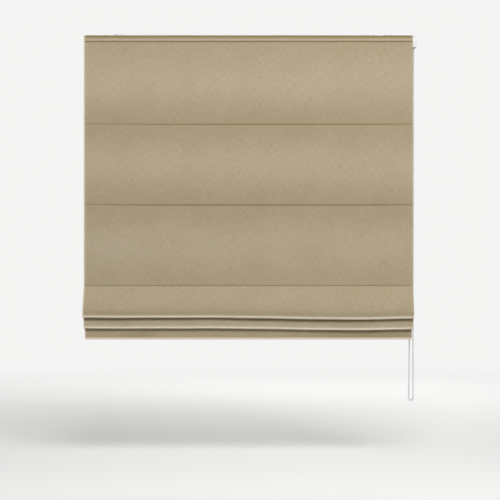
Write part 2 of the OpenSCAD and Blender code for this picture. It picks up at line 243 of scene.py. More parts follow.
def linear(colour: str) -> tuple[float, float, float, float]:
    """Turns an sRGB colour into the linear values that shaders take.

    Args:
        colour: six hex digits after a hash sign.

    Returns:
        Linear red, green, blue and an alpha of 1.
    """
    shares = [int(colour[i : i + 2], 16) / 255 for i in (1, 3, 5)]
    red, green, blue = (s / 12.92 if s <= 0.04045 else ((s + 0.055) / 1.055) ** 2.4 for s in shares)
    return red, green, blue, 1.0


def feed(node: Node, inputs: dict[str | int, Any]) -> None:
    """Sets or links the inputs of a node.

    Args:
        node: the node.
        inputs: for each input, by name or number, its value or the socket that feeds it.
    """
    for key, value in inputs.items():
        if isinstance(value, NodeSocket):
            node.id_data.links.new(value, node.inputs[key])
        else:
            node.inputs[key].default_value = value


def add_node(tree: NodeTree, kind: str, inputs: dict[str | int, Any] | None = None, **settings: Any) -> Node:
    """Adds a shader node with its settings and links.

    Args:
        tree: the node tree that it joins.
        kind: Blender's name for the type of node, after the word ShaderNode.
        inputs: for each input, by name or number, its value or the socket that feeds it.
        settings: properties of the node itself.

    Returns:
        The new node.
    """
    node = tree.nodes.new("ShaderNode" + kind)
    for name, value in settings.items():
        setattr(node, name, value)
    feed(node, inputs or {})
    return node


def per_metre(size_mm: float) -> float:
    """The scale at which a noise has features of about that size."""
    return 1 / (size_mm * MM)


def band_scale(period_mm: float) -> float:
    """The scale at which a wave texture, whose bands are 2 pi / 20 apart at 1, repeats every period_mm."""
    return 2 * math.pi / 20 / (period_mm * MM)


def bell(off: Numbers, width: Numbers) -> Numbers:
    """A share that is 1 where off is 0 and fades away on both sides over about the width."""
    return np.exp(-((off / width) ** 2))


def eased(steps: int, last: bool = False) -> np.ndarray:
    """Shares from 0 to 1 in that many steps, which crowd together at both ends; the 1 only if last is set."""
    return (1 - np.cos(math.pi * np.arange(steps + last) / steps)) / 2


@dataclass(frozen=True)
class Finish:
    """A material: what it is made of and how its surface was made."""

    name: str
    colour: str
    roughness: float
    metallic: float = 0.0
    ior: float = 1.5

    def material(self) -> Material:
        """Makes the finish's material, the first time that it is asked for.

        Returns:
            The material.
        """
        found = bpy.data.materials.get(self.name)
        if found is not None:
            return found
        made = bpy.data.materials.new(self.name)
        made.use_nodes = True
        shader = made.node_tree.nodes["Principled BSDF"]
        feed(shader, {"Base Color": linear(self.colour), "Roughness": self.roughness})
        feed(shader, {"Metallic": self.metallic, "IOR": self.ior})
        self.paint(made.node_tree, shader)
        return made

    def paint(self, tree: NodeTree, shader: Node) -> None:
        """Adds the finish's own pattern to a new material.

        Args:
            tree: the material's nodes.
            shader: its Principled BSDF.
        """
        raise NotImplementedError


@dataclass(frozen=True)
class WovenCloth(Finish):
    """Plain-woven cloth: matt, with uneven yarns that cross, and a cloudy tone where they thicken.

    Attributes:
        cloud_range: the noise at which clouds start and stop deepening the tone, and the most that they do.
        slub_range: the same for thick stretches of yarn.
        weave_relief: height of the crossing yarns for a slub's height of 1.
    """

    dark: str = "#000000"
    # The seam colour paints shade and the edge colour paints highlights; the mesh attribute of each name sets its share
    seam: str = "#000000"
    edge: str = "#FFFFFF"
    yarn_mm: float = 2.2
    slub_mm: float = 14.0
    cloud_mm: float = 90.0
    cloud_range: tuple[float, float, float] = (0.4, 0.7, 0.22)
    slub_range: tuple[float, float, float] = (0.75, 1.25, 0.55)
    weave_relief: float = 1.6
    relief_mm: float = 0.25
    bump: float = 0.7
    sheen: float = 0.1
    sheen_roughness: float = 0.5
    specular: float = 0.2

    def paint(self, tree: NodeTree, shader: Node) -> None:
        """Adds the weave, the slubs and clouds of its yarn, and the painted shade of the seam colour and the painted
        highlights of the edge colour.

        Args:
            tree: the material's nodes.
            shader: its Principled BSDF.
        """
        cloth = add_node(tree, "UVMap", uv_map="cloth").outputs["UV"]
        # The real yarns lie 0.6 mm apart, which is too fine to show, so they are drawn coarser
        yarns = {"Vector": cloth, "Scale": band_scale(2 * self.yarn_mm)}
        crossing = []
        slubs = []
        for way, sizes in (("X", (self.yarn_mm, self.slub_mm)), ("Y", (self.slub_mm, self.yarn_mm))):
            wave = add_node(tree, "TexWave", yarns, bands_direction=way).outputs["Fac"]
            centred = add_node(tree, "Math", {0: wave, 1: 0.5}, operation="SUBTRACT")
            crossing.append(centred.outputs[0])
            scale = (per_metre(sizes[0]), per_metre(sizes[1]), 1.0)
            streaks = add_node(tree, "Mapping", {"Vector": cloth, "Scale": scale}).outputs[0]
            slub = add_node(tree, "TexNoise", {"Vector": streaks, "Scale": 1.0, "Detail": 2.0})
            slubs.append(slub.outputs["Fac"])
        weave = add_node(tree, "Math", dict(enumerate(crossing)), operation="MULTIPLY").outputs[0]
        slub = add_node(tree, "Math", dict(enumerate(slubs)), operation="ADD").outputs[0]
        noise = {"Vector": cloth, "Scale": per_metre(self.cloud_mm), "Detail": 3.0, "Roughness": 0.6}
        cloud = add_node(tree, "TexNoise", noise).outputs["Fac"]
        heights = {0: weave, 1: self.weave_relief, 2: slub}
        relief = add_node(tree, "Math", heights, operation="MULTIPLY_ADD").outputs[0]
        level = {"Height": relief, "Strength": self.bump, "Distance": self.relief_mm * MM}
        feed(shader, {"Normal": add_node(tree, "Bump", level).outputs["Normal"]})
        tones = []
        for share, (low, high, most) in ((cloud, self.cloud_range), (slub, self.slub_range)):
            limits = {"Value": share, "From Min": low, "From Max": high, "To Min": 0.0, "To Max": most}
            tones.append((self.dark, add_node(tree, "MapRange", limits).outputs[0]))
        # Painted shade in the seam colour and painted highlights in the edge colour, by the mesh's attributes
        for name, colour in (("seam", self.seam), ("edge", self.edge)):
            tones.append((colour, add_node(tree, "Attribute", attribute_name=name).outputs["Fac"]))
        below: Any = linear(self.colour)
        for colour, share in tones:
            mix = add_node(tree, "Mix", {0: share, 6: below, 7: linear(colour)}, data_type="RGBA")
            below = mix.outputs[2]
        feed(shader, {"Base Color": below, "Specular IOR Level": self.specular})
        feed(shader, {"Sheen Weight": self.sheen, "Sheen Roughness": self.sheen_roughness})


@dataclass(frozen=True)
class GrainedFinish(Finish):
    """A hard surface with a fine grain that breaks its tone, its gloss and its level."""

    grain_mm: tuple[float, float, float] = (1.0, 1.0, 1.0)
    other: str = "#FFFFFF"
    gloss_spread: float = 0.08
    relief_mm: float = 0.02
    bump: float = 0.5
    coat: float = 0.0

    def paint(self, tree: NodeTree, shader: Node) -> None:
        """Adds the grain, stretched along the axis that the surface was drawn or brushed along.

        Args:
            tree: the material's nodes.
            shader: its Principled BSDF.
        """
        place = add_node(tree, "TexCoord").outputs["Object"]
        scale = tuple(per_metre(size) for size in self.grain_mm)
        drawn = add_node(tree, "Mapping", {"Vector": place, "Scale": scale}).outputs[0]
        noise = {"Vector": drawn, "Scale": 1.0, "Detail": 3.0}
        grain = add_node(tree, "TexNoise", noise).outputs["Fac"]
        limits = {"To Min": self.roughness - self.gloss_spread, "To Max": self.roughness + self.gloss_spread}
        gloss = add_node(tree, "MapRange", {"Value": grain, **limits})
        tones = {0: grain, 6: linear(self.colour), 7: linear(self.other)}
        tone = add_node(tree, "Mix", tones, data_type="RGBA")
        level = {"Height": grain, "Strength": self.bump, "Distance": self.relief_mm * MM}
        bump = add_node(tree, "Bump", level).outputs["Normal"]
        feed(shader, {"Base Color": tone.outputs[2], "Roughness": gloss.outputs[0]})
        feed(shader, {"Normal": bump, "Coat Weight": self.coat})


@dataclass(frozen=True)
class PileTape(Finish):
    """Nylon tape with a pile of hooks or loops: matt, with a speckle of small tufts."""

    tuft_mm: float = 1.4
    gap: str = "#B0AEA8"
    relief_mm: float = 0.5
    bump: float = 0.8
    sheen: float = 0.2

    def paint(self, tree: NodeTree, shader: Node) -> None:
        """Adds the tufts as small cells with darker gaps between them.

        Args:
            tree: the material's nodes.
            shader: its Principled BSDF.
        """
        place = add_node(tree, "TexCoord").outputs["Object"]
        cells = {"Vector": place, "Scale": per_metre(self.tuft_mm)}
        tuft = add_node(tree, "TexVoronoi", cells).outputs["Distance"]
        tones = {0: tuft, 6: linear(self.colour), 7: linear(self.gap)}
        tone = add_node(tree, "Mix", tones, data_type="RGBA")
        height = add_node(tree, "Math", {0: 1.0, 1: tuft}, operation="SUBTRACT").outputs[0]
        level = {"Height": height, "Strength": self.bump, "Distance": self.relief_mm * MM}
        bump = add_node(tree, "Bump", level).outputs["Normal"]
        feed(shader, {"Base Color": tone.outputs[2], "Normal": bump, "Sheen Weight": self.sheen})


# Polyester and linen mix: matt and slubby, with a painted shade colour and a painted highlight colour for its lips,
# hems and sides
FACE_CLOTH = WovenCloth(
    "woven polyester and linen", "#BDAF95", 0.9, dark="#A39477", seam="#85734C", edge="#FBEED6"
)
# Cotton sateen: finer and smoother than the face cloth, with its own painted shade and painted highlight colours
LINING_CLOTH = WovenCloth(
    "cotton lining", "#EAE4D7", 0.85, dark="#DDD5C4", seam="#C9BFAB", edge="#F3EFE6",
    yarn_mm=1.2, slub_mm=20.0, relief_mm=0.12,
)
# Spun polyester sewing thread: matt and fibrous
FACE_THREAD = GrainedFinish("face sewing thread", "#83745A", 0.8, other="#998A6E", grain_mm=(0.5, 0.5, 0.5))
# Powder coat on extruded aluminium: satin with a faint orange-peel
POWDER_COAT = GrainedFinish("white powder coat", "#E2E3E3", 0.42, other="#EAEAE9", grain_mm=(2.0, 2.0, 2.0))
# Zinc plate on pressed steel: bright grey with a soft spangle
ZINC_PLATE = GrainedFinish(
    "zinc plated steel", "#9DA2A6", 0.42, 1.0, other="#B4B8BB", grain_mm=(3.0, 3.0, 3.0), gloss_spread=0.12
)
# Mill-finish aluminium: drawn lines along its length
MILL_ALUMINIUM = GrainedFinish(
    "mill finish aluminium", "#C2C5C8", 0.36, 1.0, other="#D9DBDD", grain_mm=(60.0, 0.7, 0.7)
)
# Drawn spring wire: dark grey with lines round each turn
SPRING_WIRE = GrainedFinish(
    "drawn spring wire", "#7E8286", 0.3, 1.0, other="#9DA1A5", grain_mm=(0.4, 4.0, 4.0)
)
# Moulded acetal and ABS: satin, with the fine grain of the mould
WHITE_PLASTIC = GrainedFinish(
    "moulded white plastic", "#DEDEDA", 0.4, ior=1.48, other="#E7E7E4", relief_mm=0.015
)
DARK_PLASTIC = GrainedFinish(
    "moulded dark plastic", "#35373A", 0.45, ior=1.48, other="#45484B", relief_mm=0.015
)
# Glass fibre drawn in resin: smooth and off-white, with fibres along the rod
GLASS_FIBRE = GrainedFinish(
    "drawn glass fibre", "#E3DFD2", 0.28, ior=1.52, other="#F2F0E8", grain_mm=(80.0, 0.5, 0.5), coat=0.2
)
# Nylon hook and loop tape: dull white, with small shadows between its tufts
NYLON_TAPE = PileTape("nylon pile tape", "#F0EEE9", 0.85)
# Braided polyester: silky white strands
BRAIDED_CORD = GrainedFinish(
    "braided polyester cord", "#EFECE5", 0.65, other="#FAF8F3", grain_mm=(0.4, 0.4, 1.6)
)
# Moulded acetal beads: pale grey, smooth and a little glossy
BEAD_PLASTIC = GrainedFinish(
    "moulded bead plastic", "#C8CACC", 0.32, ior=1.48, other="#D6D8DA", grain_mm=(2.0, 2.0, 2.0)
)

SLOT_FINISHES: dict[Slot, Finish] = {
    Slot.RAIL: POWDER_COAT,
    Slot.BRACKET: ZINC_PLATE,
    Slot.TAPE: NYLON_TAPE,
    Slot.PLASTIC: WHITE_PLASTIC,
    Slot.BUSH: DARK_PLASTIC,
    Slot.SPRING: SPRING_WIRE,
    Slot.SHAFT: MILL_ALUMINIUM,
    Slot.ROD: GLASS_FIBRE,
    Slot.FACE: FACE_CLOTH,
    Slot.LINING: LINING_CLOTH,
    Slot.CORD: BRAIDED_CORD,
    Slot.CHAIN: BEAD_PLASTIC,
}


def add_object(name: str, data: ID) -> Object:
    """Adds an object to the scene, at the origin.

    Args:
        name: its name.
        data: its mesh, camera or light.

    Returns:
        The new object.
    """
    added = bpy.data.objects.new(name, data)
    bpy.context.scene.collection.objects.link(added)
    return added


def place_piece(bm: BMesh, name: str, finish: Finish, slot: Slot, thickness: float = 0.0) -> Object:
    """Makes a piece of a finished bmesh, smooth shaded.

    Args:
        bm: the mesh, which is freed.
        name: the piece's name.
        finish: what it is made of.
        slot: its material slot.
        thickness: how far a sheet reaches behind its own surface, which stays the outer one.

    Returns:
        The new object.
    """
    mesh = bpy.data.meshes.new(name)
    for face in bm.faces:
        face.smooth = True
    bm.to_mesh(mesh)
    bm.free()
    mesh.materials.append(finish.material())
    piece = add_object(name, mesh)
    if thickness:
        closed = piece.modifiers.new("thickness", "SOLIDIFY")
        closed.thickness = thickness
        closed.offset = -1.0
        closed.use_even_offset = False
        solid = bpy.data.meshes.new_from_object(piece.evaluated_get(bpy.context.evaluated_depsgraph_get()))
        piece.modifiers.clear()
        piece.data = solid
        bpy.data.meshes.remove(mesh)
        solid.name = name
    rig.slot(piece, slot.value)
    return piece


@dataclass(frozen=True)
class BlindPlaces:
    """Places that the sub-assemblies share and the blind's travel, read from the frame."""

    half_w: float
    top: float
    header: float
    seam_y: float
    rod_y: float
    rod_z: tuple[float, ...]
    rod_half: float
    hem_z: float
    bar_y: float
    cord_x: tuple[float, ...]
    cord_y: float
    cord_top: float
    cord_end: float
    travel: float

    @classmethod
    def from_frame(cls, frame: dict[str, Any]) -> "BlindPlaces":
        """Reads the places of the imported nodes.

        Args:
            frame: the loaded frame.

        Returns:
            The places, in metres.
        """
        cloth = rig.box("face_fabric")[1]
        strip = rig.box("loop_strip")[0]
        rods = [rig.box(f"rod_{i}") for i in range(1, 6)]
        cords = [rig.box(f"lift_cord_{i}") for i in range(1, 4)]
        bar_low, bar_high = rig.box("bottom_bar")
        return cls(
            half_w=cloth.x,
            top=cloth.z,
            header=strip.z,
            seam_y=strip.y - LINING_T,
            rod_y=(rods[0][0].y + rods[0][1].y) / 2,
            rod_z=tuple((low.z + high.z) / 2 for low, high in rods),
            rod_half=rods[0][1].x,
            hem_z=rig.box("folded_fabric")[0].z,
            bar_y=(bar_low.y + bar_high.y) / 2,
            cord_x=tuple((low.x + high.x) / 2 for low, high in cords),
            cord_y=(cords[0][0].y + cords[0][1].y) / 2,
            cord_top=cords[0][1].z,
            cord_end=cords[0][0].z,
            travel=next(joint["range_m"][1] for joint in frame["joints"] if joint["name"] == "lift"),
        )

    def shorten(self, piece: Object, top: float, bottom: float) -> None:
        """Lets a soft piece gather up under the headrail as the blind rises.

        Args:
            piece: the piece, which rides on the rail.
            top: height of its upper end, which stays.
            bottom: height of its lower end, which rises by the whole travel.
        """
        drop = top - bottom
        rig.ride(piece, Body.RAIL.value)
        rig.squash(piece, "lift", axis=(0, 0, 1), anchor=(0, 0, top), keep=(drop - self.travel) / drop)


@dataclass
class Rows:
    """One run of cloth from top to bottom at one place across the width.

    Attributes:
        points: Y and Z of each row.
        seam: share of the seam colour at each row, which paints shade.
        edge: share of the edge colour at each row, which paints highlights.
    """

    points: np.ndarray
    seam: np.ndarray
    edge: np.ndarray

    def back_side(self) -> np.ndarray:
        """Works out the way from the face cloth to the lining, level at both ends, where sheets meet.

        Returns:
            A unit normal for each row.
        """
        step = np.gradient(self.points, axis=0)
        ends = step[[0, -1]]
        step[[0, -1], 0] = np.where(ends[:, 1] == 0, ends[:, 0], 0.0)
        step /= np.linalg.norm(step, axis=1)[:, None]
        return np.stack([-step[:, 1], step[:, 0]], axis=1)

    def along(self) -> np.ndarray:
        """Returns each row's distance from the first, along the cloth."""
        steps = np.linalg.norm(np.diff(self.points, axis=0), axis=1)
        return np.concatenate([[0.0], np.cumsum(steps)])


@dataclass(frozen=True)
class Band:
    """A soft band: its share in the middle, where the middle lies, and how wide it is."""

    share: float
    middle: float
    width: float

    def at(self, place: Numbers) -> Numbers:
        """Returns the share at a place, or at each of an array of places."""
        return self.share * bell(place - self.middle, self.width)


@dataclass(frozen=True)
class Drape:
    """How the cloth hangs: its header and flat panels, the folds below the third rod, and its painted shade and
    highlights.
    """

    places: BlindPlaces
    # How far the header and the panels stand out, and the crease beside each seam
    header_bulge: float = 1.5 * MM
    panel_bow: float = 1.0 * MM
    panel_wave: float = 0.5 * MM
    crease: float = 0.4 * MM
    crease_w: float = 1.2 * MM
    # How far the first two seams rise at the left and the right, and from which share of the half-width
    side_lift: tuple[float, float] = (1.6 * MM, 0.7 * MM)
    lift_from: float = 0.45
    # How far each fold hangs below the third rod or the fold above it, how far it stands out, and its round
    fold_1_drop: float = 88 * MM
    fold_2_step: float = 30 * MM
    fold_1_reach: float = 33 * MM
    fold_2_reach: float = 21 * MM
    fold_1_r: float = 5 * MM
    fold_2_r: float = 4 * MM
    fold_1_wave: float = 0.8 * MM
    fold_2_wave: float = 0.5 * MM
    fold_phases: tuple[float, float] = (0.4, 2.9)
    # The turn in front of a rod, the slope at which cloth leaves it, and how stiffly a free run keeps its way
    turn_r: float = 1.6 * MM
    lean: float = math.radians(25)
    handle: float = 0.4
    # How far and where the first fold has slipped down, and the second fold's share of that
    slip: Band = Band(5.2 * MM, 270 * MM, math.sqrt(2) * 130 * MM)
    slip_2: float = 0.9
    # Waves across the width: height, length over 2 pi, and phase
    slip_waves: tuple[tuple[float, float, float], ...] = ((0.3 * MM, 61 * MM, 0.7), (0.21 * MM, 27 * MM, 2.1))
    ripples: tuple[tuple[float, float, float], ...] = ((0.6, 83 * MM, 1.0), (0.4, 39 * MM, 2.3))
    # The face cloth's thickness, the hem round the bottom bar, and the third rod's seam, where sheets meet
    face_t: float = 0.8 * MM
    hem_r: float = 2.2 * MM
    bar_h: float = 24 * MM
    hem_extra: float = 3 * MM
    seam_lip: float = 0.6 * MM
    seam_gap: float = 0.1 * MM
    # Points in the header, a panel, a free run, a turn, the front of the hem and its turned-up layer
    header_points: int = 13
    panel_steps: int = 26
    run_steps: int = 22
    turn_steps: int = 14
    hem_steps: int = 12
    flap_points: int = 8
    # Painted shade in dark lines along the header's stitches and the first three rods, and how it fades at the left and
    # right
    line_shades: tuple[float, ...] = (0.62, 0.68, 0.84, 0.2)
    line_ws: tuple[float, ...] = (2.24 * MM, 1.4 * MM, 1.4 * MM, 1.4 * MM)
    side_fades: tuple[tuple[float, float], ...] = ((0.62, 150 * MM), (0.25, 60 * MM))
    # Painted light on the header, by shares of its height: a painted shadow at the top, painted shade along the
    # stitches, and a painted highlight on the lip between
    header_top_shadow: tuple[float, float, float] = (0.95, 0.56, 2.5)
    header_foot_shade: Band = Band(1.0, 1.0, 0.1)
    header_lip_highlight: Band = Band(0.13, 0.67, 0.12)
    # Depth of each panel's painted shade at its upper and its lower seam
    panel_shades: tuple[tuple[float, float], ...] = ((0.22, 0.3), (0.3, 0.28), (0.27, 0.16))
    # Painted highlights on the two lips and the hem, and the share of a lip's highlight at its first point
    lip_highlights: tuple[tuple[str, float], ...] = (("lip_1", 0.9), ("lip_2", 1.0), ("hem_lip", 0.95))
    lip_start: float = 0.85
    lip_1_highlight: Band = Band(0.75, 2 * MM, 4.5 * MM)
    lip_2_highlight: Band = Band(0.4, 0.0, 3 * MM)
    hem_highlight: Band = Band(0.95, 0.0, 1.7 * MM)
    # Painted shade on the first fold, the painted shadow that it throws on the second, and painted shade on the last
    # panel
    front_shade: float = 0.19
    front_shade_band: Band = Band(0.18, 13 * MM, 8 * MM)
    shade_tone: float = 0.5
    shade_w: float = 7 * MM
    shade_slip: float = 0.8
    last_shade: float = 0.15
    last_shade_bands: tuple[Band, ...] = (Band(0.25, -305 * MM, 45 * MM), Band(0.29, 315 * MM, 200 * MM))
    last_w: float = 6 * MM

    def lift(self, x: float) -> float:
        """How far the first two seams rise towards a side, where the cloth pulls up a little."""
        share = max(0.0, abs(x) / self.places.half_w - self.lift_from) / (1 - self.lift_from)
        return self.side_lift[int(x > 0)] * share**2

    def sag(self, x: float) -> float:
        """How far the folds hang down at a place across the width, where the cloth has slipped a little."""
        waves = sum(high * math.sin(x / wide + phase) for high, wide, phase in self.slip_waves)
        return self.slip.at(x) + waves

    def ripple(self, x: float, phase: float) -> float:
        """A soft wave across the width, between -1 and 1."""
        return sum(high * math.sin(x / wide + turn * phase) for high, wide, turn in self.ripples)

    def fade(self, x: float) -> float:
        """How much of a seam's painted dark line shows at a place across the width: less towards the sides."""
        (left, left_w), (right, right_w) = self.side_fades
        half_w = self.places.half_w
        return 1 - left * bell(x + half_w, left_w) - right * bell(x - half_w, right_w)

    def header_rows(self, x: float) -> Rows:
        """The straight band above the stitched line, which bulges over its tape and is the same all across.

        Args:
            x: place across the width; not used, as the band is the same all across.

        Returns:
            The band's rows.
        """
        p = self.places
        t = np.linspace(0, 1, self.header_points)
        y = p.seam_y - self.header_bulge * np.sin(math.pi * t**1.5)
        z = p.top + (p.header - p.top) * t
        tone, height, power = self.header_top_shadow
        # Painted shadow at the band's top and painted shade along the stitches, with a painted highlight on the lip
        # between
        seam = tone * np.exp(-((t / height) ** power)) + self.header_foot_shade.at(t)
        return Rows(np.stack([y, z], 1), seam, self.header_lip_highlight.at(t))

    def panel_rows(self, x: float) -> Rows:
        """The three flat panels between the stitched line and the third rod.

        Args:
            x: place across the width.

        Returns:
            The panels' rows, which crowd together at the seams.
        """
        p = self.places
        points = []
        seam = []
        levels = [p.header, *(z + self.lift(x) for z in p.rod_z[:2]), p.rod_z[2] + self.seam_gap]
        lines = [self.line_shades[0], *(tone * self.fade(x) for tone in self.line_shades[1:])]
        for k, tones in enumerate(self.panel_shades):
            t = eased(self.panel_steps, last=k == 2)
            height = levels[k] - levels[k + 1]
            off = np.minimum(t, 1 - t) * height
            middle = 1 - (2 * t - 1) ** 2
            crease = self.crease * (1 - np.exp(-off / self.crease_w))
            out = (self.panel_bow + self.panel_wave * self.ripple(x, 1.0 + k)) * middle + crease
            points.append(np.stack([p.seam_y - out, levels[k] - t * height], 1))
            # Painted shade: the cloth darkens towards the pockets, and most along the stitches
            depth, line, line_w = (
                np.where(t < 0.5, *pair) for pair in (tones, lines[k : k + 2], self.line_ws[k : k + 2])
            )
            seam.append(depth * (1 + np.cos(2 * math.pi * t)) / 2 + line * bell(off, line_w))
        rows = np.concatenate(seam)
        return Rows(np.concatenate(points), rows, np.zeros_like(rows))

    def run(
        self, start: np.ndarray, start_way: np.ndarray, end: np.ndarray, end_way: np.ndarray
    ) -> np.ndarray:
        """A free run of cloth between two places, as a cubic curve.

        Args:
            start: Y and Z where it begins.
            start_way: its direction there.
            end: Y and Z where it ends.
            end_way: its direction there.

        Returns:
            Points along it, without the last.
        """
        reach = np.linalg.norm(end - start) * self.handle
        t = eased(self.run_steps)[:, None]
        near = start + reach * start_way
        far = end - reach * end_way
        return (1 - t) ** 3 * start + 3 * t * (1 - t) ** 2 * near + 3 * t * t * (1 - t) * far + t**3 * end

    def turn(self, centre: np.ndarray, radius: float, start: float, end: float) -> np.ndarray:
        """A turn of cloth, as points on an arc without the last; the angles are in radians."""
        angle = np.linspace(start, end, self.turn_steps, endpoint=False)
        return centre + radius * np.stack([np.cos(angle), np.sin(angle)], 1)

    def fold_rounds(self, x: float) -> list[np.ndarray]:
        """Places the rounds at the lower ends of the two folds and of the hem.

        Args:
            x: place across the width.

        Returns:
            The Y and Z of each round's centre, from the top down.
        """
        p = self.places
        sag = self.sag(x)
        fold_1_z = p.rod_z[2] - self.fold_1_drop
        fold_2_z = fold_1_z - self.fold_2_step - self.slip_2 * sag
        reach_1 = self.fold_1_reach + self.fold_1_wave * self.ripple(x, self.fold_phases[0])
        reach_2 = self.fold_2_reach + self.fold_2_wave * self.ripple(x, self.fold_phases[1])
        return [
            np.array([p.seam_y - reach_1 + self.fold_1_r, fold_1_z - sag + self.face_t + self.fold_1_r]),
            np.array([p.seam_y - reach_2 + self.fold_2_r, fold_2_z + self.face_t + self.fold_2_r]),
            np.array([p.bar_y, p.hem_z + self.face_t + self.hem_r]),
        ]

    def fold_runs(self, x: float) -> dict[str, np.ndarray]:
        """The stretches of cloth below the third rod: two folds, the last panel and the hem round its bar.

        Args:
            x: place across the width.

        Returns:
            The Y and Z of each stretch's points, by its name, from the rod to the hem's turned-up edge.
        """
        p = self.places
        up = np.array([0.0, 1.0])
        out = np.array([-math.sin(self.lean), -math.cos(self.lean)])
        fold_1, fold_2, hem = self.fold_rounds(x)
        side_1, side_2, hem_side = (np.array([r, 0.0]) for r in (self.fold_1_r, self.fold_2_r, self.hem_r))
        seam = np.array([p.seam_y, p.rod_z[2] - self.seam_gap / 2])
        rod_4, rod_5 = (np.array([p.seam_y - self.turn_r, z]) for z in p.rod_z[3:])
        rod_side = self.turn_r * np.array([math.cos(self.lean), -math.sin(self.lean)])
        round_rod = (self.turn_r, math.pi - self.lean, -self.lean)
        lip = (math.pi, 2 * math.pi)
        hem_top = hem - hem_side + self.bar_h * up
        flap = (self.bar_h + self.hem_extra) * up
        return {
            "seam": seam[None],
            "front_1": self.run(seam - self.seam_lip * up, out, fold_1 - side_1, -up),
            "lip_1": self.turn(fold_1, self.fold_1_r, *lip),
            "back_1": self.run(fold_1 + side_1, up, rod_4 - rod_side, -out),
            "rod_4": self.turn(rod_4, *round_rod),
            "front_2": self.run(rod_4 + rod_side, out, fold_2 - side_2, -up),
            "lip_2": self.turn(fold_2, self.fold_2_r, *lip),
            "back_2": self.run(fold_2 + side_2, up, rod_5 - rod_side, -out),
            "rod_5": self.turn(rod_5, *round_rod),
            "last": self.run(rod_5 + rod_side, out, hem_top, -up),
            "hem": hem_top + eased(self.hem_steps)[:, None] * (hem - hem_side - hem_top),
            "hem_lip": self.turn(hem, self.hem_r, *lip),
            "flap": hem + hem_side + np.linspace(0, 1, self.flap_points)[:, None] * flap,
        }

    def fold_rows(self, x: float) -> Rows:
        """The two folds, the last panel and the hem, with their painted shade and highlights.

        Args:
            x: place across the width.

        Returns:
            Their rows, from the third rod to the hem's turned-up edge.
        """
        runs = self.fold_runs(x)
        ends = np.cumsum([len(run) for run in runs.values()])
        span = {name: slice(end - len(runs[name]), end) for name, end in zip(runs, ends)}
        front = slice(0, span["front_1"].stop)
        second = span["front_2"]
        rows = Rows(np.concatenate(list(runs.values())), np.zeros(ends[-1]), np.zeros(ends[-1]))
        z = rows.points[:, 1]
        fold_1_z, fold_2_z, hem_z = (centre[1] for centre in self.fold_rounds(x))
        lip_1_z = fold_1_z - self.face_t - self.fold_1_r
        lip_2_z = fold_2_z - self.face_t - self.fold_2_r
        # Painted highlights on the lips and hem, which come in softly at a lip's start, and from above on the first
        # fold
        for name, share in self.lip_highlights:
            rows.edge[span[name]] = share
            rows.edge[span[name].start] *= self.lip_start
        above = z[front] - lip_1_z
        rows.edge = np.maximum(rows.edge, self.hem_highlight.at(np.maximum(0.0, z - hem_z)))
        rows.edge[front] = self.lip_1_highlight.at(np.maximum(self.lip_1_highlight.middle, above))
        rows.edge[second] = self.lip_2_highlight.at(np.maximum(0.0, z[second] - fold_2_z))
        # Painted shade: the first fold darkens to its lip, a painted shadow lies on the second, and the last panel has
        # darker stretches
        low = z < fold_2_z
        last_shade = self.last_shade + sum(band.at(x) for band in self.last_shade_bands)
        shade_w = self.shade_w + self.shade_slip * max(0.0, self.sag(x))
        rows.seam[front] = self.front_shade + self.front_shade_band.at(above)
        rows.seam[low] = last_shade * (1 - bell(np.maximum(0.0, lip_2_z - z[low]), self.last_w))
        rows.seam[second] = self.shade_tone * bell(np.maximum(0.0, lip_1_z - z[second]), shade_w)
        rows.seam += self.line_shades[3] * self.fade(x) * bell(rows.along(), self.line_ws[3])
        return rows


@dataclass(frozen=True)
class Columns:
    """Places across a sheet, from its left side to its right.

    Attributes:
        x: place across the width.
        off: how far behind the run of the cloth the sheet's outer surface lies.
        edge: share of the edge colour, which paints highlights.
    """

    x: np.ndarray
    off: np.ndarray
    edge: np.ndarray

    @classmethod
    def mirrored(cls, x: np.ndarray, off: np.ndarray) -> "Columns":
        """Makes a sheet's columns from its right half, without an edge tone.

        Args:
            x: places from the middle to the right side.
            off: how far behind the run of the cloth each lies.

        Returns:
            The columns of both halves.
        """
        both = np.concatenate([-x[:0:-1], x])
        return cls(both, np.concatenate([off[:0:-1], off]), np.zeros_like(both))

    def across(self) -> np.ndarray:
        """Returns each column's distance from the first, along the sheet."""
        steps = np.hypot(np.diff(self.x), np.diff(self.off))
        return np.concatenate([[0.0], np.cumsum(steps)])


def new_cloth() -> BMesh:
    """Makes an empty mesh with the layers that cloth reads: its own flat place, and the shares of the seam colour's
    painted shade and the edge colour's painted highlights.

    Returns:
        The mesh.
    """
    bm = bmesh.new()
    bm.loops.layers.uv.new("cloth")
    bm.verts.layers.float.new("seam")
    bm.verts.layers.float.new("edge")
    return bm


